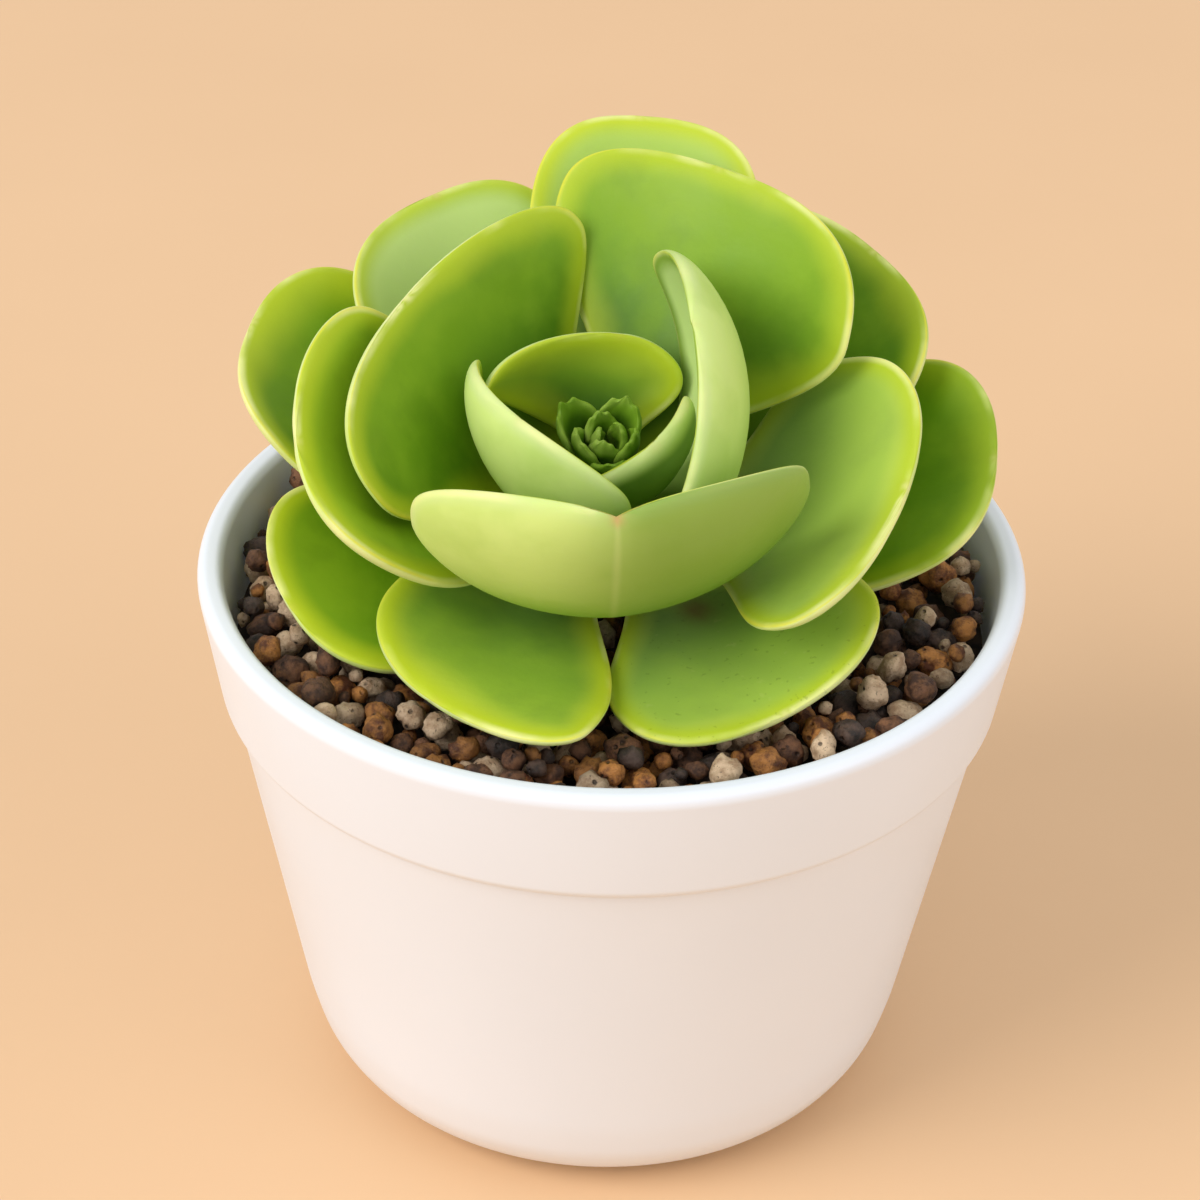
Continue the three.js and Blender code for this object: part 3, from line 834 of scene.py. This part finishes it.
# painted shade: the filling is near black, standing for the grains in shade deep in the gaps
painted_shade_filling, bed_tree, bed_shader = new_material("painted_shade_filling", 0.95)
bed_colour = blend(
    bed_tree, fade(bed_tree, mottle(bed_tree, 400), 0.4, 0.6), (0.012, 0.008, 0.006), (0.05, 0.03, 0.018)
)
bed_tree.links.new(bed_colour, bed_shader.inputs["Base Color"])
finish_piece(bed, "grit_bed", painted_shade_filling, "grit", "grit")

# %% [markdown]
# ### Room for the grains
# The grains' tops lie low under the leaves and higher in the open ring by the wall, as in the real pot. The
# leaves come close to them, so each leaf is made ready for a quick question: is anything nearer than this?

# %% Measure the room
ROOM_RADIUS = 54.9
LEAF_CLEARANCE = 0.25


def grit_level(reach):
    """The height of the grains' tops: low under the leaves and higher in the open ring by the wall."""
    return 80.6 + 3.2 * float(smoothstep(37, 45, reach))


def bed_height(reach):
    """The height of the dark filling that the grains lie on."""
    return 75.2 + 2.4 * float(smoothstep(38, 44, reach))


leaf_trees = []
for piece in leaf_objects:
    leaf_trees.append(BVHTree.FromPolygons(
        [tuple(point) for point in points_of(piece) / MM],
        [tuple(face.vertices) for face in piece.data.polygons],
    ))


def clear_of_leaves(place, radius):
    return all(tree.find_nearest(place, radius + LEAF_CLEARANCE)[0] is None for tree in leaf_trees)


print("grit level at the middle and at the wall:", grit_level(0), grit_level(ROOM_RADIUS))

# %% [markdown]
# ### Settling
# Scattered grains would overlap or float. Here each grain is tried at several places and is let down where
# it comes to rest lowest, against the grains before it, the wall and the leaves. That packs them as loosely
# and as closely as in the real pot. When too many grains in a row find no room, the pot is full.

# %% Let the grains settle
GRAIN_SIZES = [(2.15, 2.65), (1.5, 2.15), (0.9, 1.4)]
SIZE_WEIGHTS = [0.46, 0.32, 0.22]
GRAIN_TRIES = 14
MOST_GRAINS = 1500
MOST_MISSES = 260
MOST_ABOVE = 0.7
SUNK = 0.6
NESTED = 0.93
shuffle = random.Random(4071)


def resting_height(settled, x, y, reach, size):
    """Where a grain let down at x and y comes to rest, on the filling or on the grains before it."""
    height = bed_height(reach) + SUNK * size
    if len(settled) == 0:
        return height
    apart = (settled[:, 0] - x) ** 2 + (settled[:, 1] - y) ** 2
    touch = (settled[:, 3] + size) * NESTED
    near = apart < touch ** 2
    if near.any():
        on_grains = settled[near, 2] + np.sqrt(touch[near] ** 2 - apart[near])
        height = max(height, float(on_grains.max()))
    return height


settled = np.zeros((0, 4))
misses = 0
while len(settled) < MOST_GRAINS and misses < MOST_MISSES:
    size = shuffle.uniform(*shuffle.choices(GRAIN_SIZES, SIZE_WEIGHTS)[0])
    best = None
    for _ in range(GRAIN_TRIES):
        reach = (ROOM_RADIUS - size) * math.sqrt(shuffle.random())
        turn = shuffle.uniform(0, 2 * math.pi)
        x, y = reach * math.cos(turn), reach * math.sin(turn)
        height = resting_height(settled, x, y, reach, size)
        spare = grit_level(reach) - height - size
        if best is None or spare > best[0]:
            best = (spare, x, y, height)
    spare, x, y, height = best
    if spare < -MOST_ABOVE or not clear_of_leaves(Vector((x, y, height)), size):
        misses += 1
        continue
    settled = np.vstack([settled, [x, y, height, size]])
print("grains:", len(settled))

# %% [markdown]
# ### The shapes of grains
# Eight grains are modelled once, each a ball pushed out of round. Each is made in three finenesses: fine for
# large grains that lie open on top, plainer for the rest of the open ring, and coarse for those under the
# leaves, which nobody sees closely. Hundreds of grains modelled one by one would look no different, because
# each copy is turned and stretched.

# %% Model eight grains
GRAIN_SHAPES = 8
FINE, PLAIN, HIDDEN = 3, 2, 1


def grain_shape(seed, detail):
    """A ball pushed out of round: large lumps, small lumps and a rough skin."""
    deselect()
    bpy.ops.mesh.primitive_ico_sphere_add(subdivisions=detail, radius=1)
    grain = bpy.context.object
    points = points_of(grain)
    lumps = np.array([
        0.30 * noise.noise(Vector(point) * 0.9 + Vector((seed, 0, 0)))
        + 0.20 * noise.noise(Vector(point) * 2.1 + Vector((0, seed, 0)))
        + 0.10 * noise.noise(Vector(point) * 5.0 + Vector((0, 0, seed)))
        for point in points
    ])
    points = points * (1 + lumps[:, None])
    faces = [tuple(face.vertices) for face in grain.data.polygons]
    bpy.data.objects.remove(grain)
    return points, np.array(faces)


grain_shapes = {
    detail: [grain_shape(2.3 * seed, detail) for seed in range(GRAIN_SHAPES)]
    for detail in (FINE, PLAIN, HIDDEN)
}
print("faces of a grain:", [len(grain_shapes[detail][0][1]) for detail in (FINE, PLAIN, HIDDEN)])

# %% [markdown]
# ### The kinds of stone
# Each kind has its own two tones. The pits lie where a cell texture comes near to the middle of a cell, left
# out in some patches. They are painted dark as the shade inside the holes, and the same pattern presses them
# into the surface. They could be cut out of the mesh, but they are smaller than its faces. A shade for each
# grain keeps neighbours apart.

# %% Mix the stones' finishes
def stone_finish(name, dark, light, pits, roughness):
    material, tree, shader = new_material(name, roughness)
    coords = add_node(tree, "ShaderNodeTexCoord").outputs["Object"]
    tone = blend(tree, fade(tree, mottle(tree, 420, 5, 0.65), 0.36, 0.62), dark, light)
    cells = add_node(tree, "ShaderNodeTexVoronoi", Vector=coords, Scale=560.0).outputs["Distance"]
    pit = multiply(tree, fade(tree, cells, 0.24, 0.10), fade(tree, mottle(tree, 380, 1), 0.42, 0.54))
    # painted shade: the pits are darkened nearly to black, as shade inside the holes
    tone = blend(tree, multiply(tree, pit, pits), tone, (0.03, 0.015, 0.008))
    specks = fade(tree, mottle(tree, 2100, 2, 0.7), 0.60, 0.70, 0, 0.7 * pits)
    tone = blend(tree, specks, tone, (0.04, 0.022, 0.012))
    tone = blend(tree, read(tree, "shade"), tone, (0.0, 0.0, 0.0))
    tree.links.new(tone, shader.inputs["Base Color"])
    roughened = add_node(
        tree, "ShaderNodeBump", Strength=0.9, Distance=0.0006, Height=mottle(tree, 1100, 6, 0.7)
    )
    pitted = add_node(
        tree, "ShaderNodeBump", Strength=1.0, Distance=0.0007, Height=pit, Normal=roughened.outputs["Normal"]
    )
    pitted.invert = True
    tree.links.new(pitted.outputs["Normal"], shader.inputs["Normal"])
    return material


STONES = {
    "pumice": (0.24, stone_finish("pale_pumice", (0.45, 0.28, 0.16), (0.80, 0.585, 0.385), 0.85, 0.85)),
    "clay": (0.28, stone_finish("baked_clay", (0.13, 0.035, 0.008), (0.58, 0.24, 0.055), 0.7, 0.55)),
    "lava": (0.24, stone_finish("dark_lava", (0.018, 0.010, 0.007), (0.105, 0.060, 0.042), 0.6, 0.5)),
    "loam": (0.24, stone_finish("brown_loam", (0.055, 0.020, 0.009), (0.25, 0.108, 0.048), 0.6, 0.65)),
}
kinds = list(STONES)
weights = [STONES[kind][0] for kind in kinds]
chosen = [shuffle.choices(kinds, weights)[0] for _ in settled]
print("grains of each kind:", {kind: chosen.count(kind) for kind in kinds})

# %% [markdown]
# ### Placing the grains
# Each settled place gets a copy of one of the eight shapes with a turn, a stretch and a shade of its own.
# Hundreds of single objects would be slow to handle, so the copies of one kind become one piece, and four
# pieces carry all the stones.

# %% Place the grains
OPEN_RING = 36
TOP_LAYER = 3
LARGE_GRAIN = 1.9
FULL_TURN = 6.28
DARKEST = 0.45


def grain_detail(x, y, height, size):
    reach = math.hypot(x, y)
    if reach < OPEN_RING:
        return HIDDEN
    on_top = height + size > grit_level(reach) - TOP_LAYER
    return FINE if on_top and size > LARGE_GRAIN else PLAIN


def placed_grain(x, y, height, size):
    """A turned and stretched copy of one shape: its points, faces and shade."""
    points, faces = shuffle.choice(grain_shapes[grain_detail(x, y, height, size)])
    spin = Matrix.Rotation(shuffle.uniform(0, FULL_TURN), 3, "X")
    spin = spin @ Matrix.Rotation(shuffle.uniform(0, FULL_TURN), 3, "Z")
    stretch = np.array([shuffle.uniform(0.8, 1.08) for _ in range(3)])
    points = ((np.array(spin) @ (points * stretch * size).T).T + (x, y, height)) * MM
    return points, faces, shuffle.uniform(0, DARKEST)


for kind in kinds:
    all_points, all_faces, shades = [], [], []
    start = 0
    for place, picked in zip(settled, chosen):
        if picked != kind:
            continue
        points, faces, shade = placed_grain(*place)
        all_points.append(points)
        all_faces.append(faces + start)
        shades.append(np.full(len(points), shade))
        start += len(points)
    mesh = bpy.data.meshes.new(kind)
    mesh.from_pydata(np.concatenate(all_points).tolist(), [], np.concatenate(all_faces).tolist())
    stones = bpy.data.objects.new(kind, mesh)
    bpy.context.scene.collection.objects.link(stones)
    paint(stones, "shade", np.concatenate(shades))
    deselect()
    stones.select_set(True)
    bpy.context.view_layer.objects.active = stones
    bpy.ops.object.shade_smooth()
    finish_piece(stones, kind + "_grains", STONES[kind][1], "grit", "grit")

# %% [markdown]
# ## Finish
# The dressed plant has to keep the size of the imported model. The last cell clears the selection and
# updates the scene.

# %% Clear the selection and update the scene
deselect()
bpy.context.view_layer.update()
